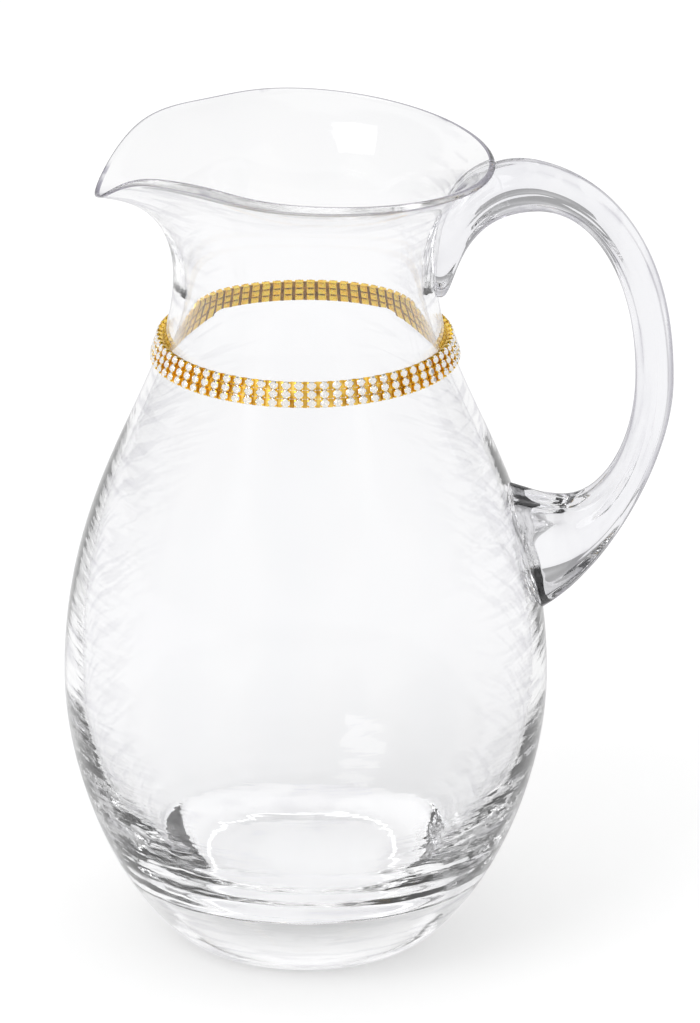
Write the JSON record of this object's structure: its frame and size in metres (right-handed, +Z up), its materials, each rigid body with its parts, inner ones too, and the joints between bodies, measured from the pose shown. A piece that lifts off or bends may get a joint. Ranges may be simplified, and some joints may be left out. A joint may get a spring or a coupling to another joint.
{
  "type": "pitcher",
  "caption": "Clear crystal pitcher with a pear-shaped heavy-based body, flared rim with a pulled spout, applied loop handle, and a gilt stone-set band round the neck.",
  "frame": {"origin": "centre of the flat base, on the surface that the pitcher stands on", "axes": "+Z up along the axis of the body, +X towards the handle, -X towards the spout"},
  "size_m": [0.1766, 0.1406, 0.2421],
  "materials": {
    "crystal": "polished",
    "gilt_setting": "polished"
  },
  "bodies": {
    "root": {"pitcher_body": "crystal", "handle": "crystal", "band_link_01": "gilt_setting", "band_link_02": "gilt_setting", "band_link_03": "gilt_setting", "band_link_04": "gilt_setting", "band_link_05": "gilt_setting", "band_link_06": "gilt_setting", "band_link_07": "gilt_setting", "band_link_08": "gilt_setting", "band_link_09": "gilt_setting", "band_link_10": "gilt_setting", "band_link_11": "gilt_setting", "band_link_12": "gilt_setting", "band_link_13": "gilt_setting", "band_link_14": "gilt_setting", "band_link_15": "gilt_setting", "band_link_16": "gilt_setting", "band_link_17": "gilt_setting", "band_link_18": "gilt_setting", "band_link_19": "gilt_setting", "band_link_20": "gilt_setting", "band_link_21": "gilt_setting", "band_link_22": "gilt_setting", "band_link_23": "gilt_setting", "band_link_24": "gilt_setting", "band_link_25": "gilt_setting", "band_link_26": "gilt_setting", "band_link_27": "gilt_setting", "band_link_28": "gilt_setting", "band_link_29": "gilt_setting", "band_link_30": "gilt_setting", "band_link_31": "gilt_setting", "band_link_32": "gilt_setting", "band_link_33": "gilt_setting", "band_link_34": "gilt_setting", "band_link_35": "gilt_setting", "band_link_36": "gilt_setting", "band_link_37": "gilt_setting"}
  },
  "joints": []
}
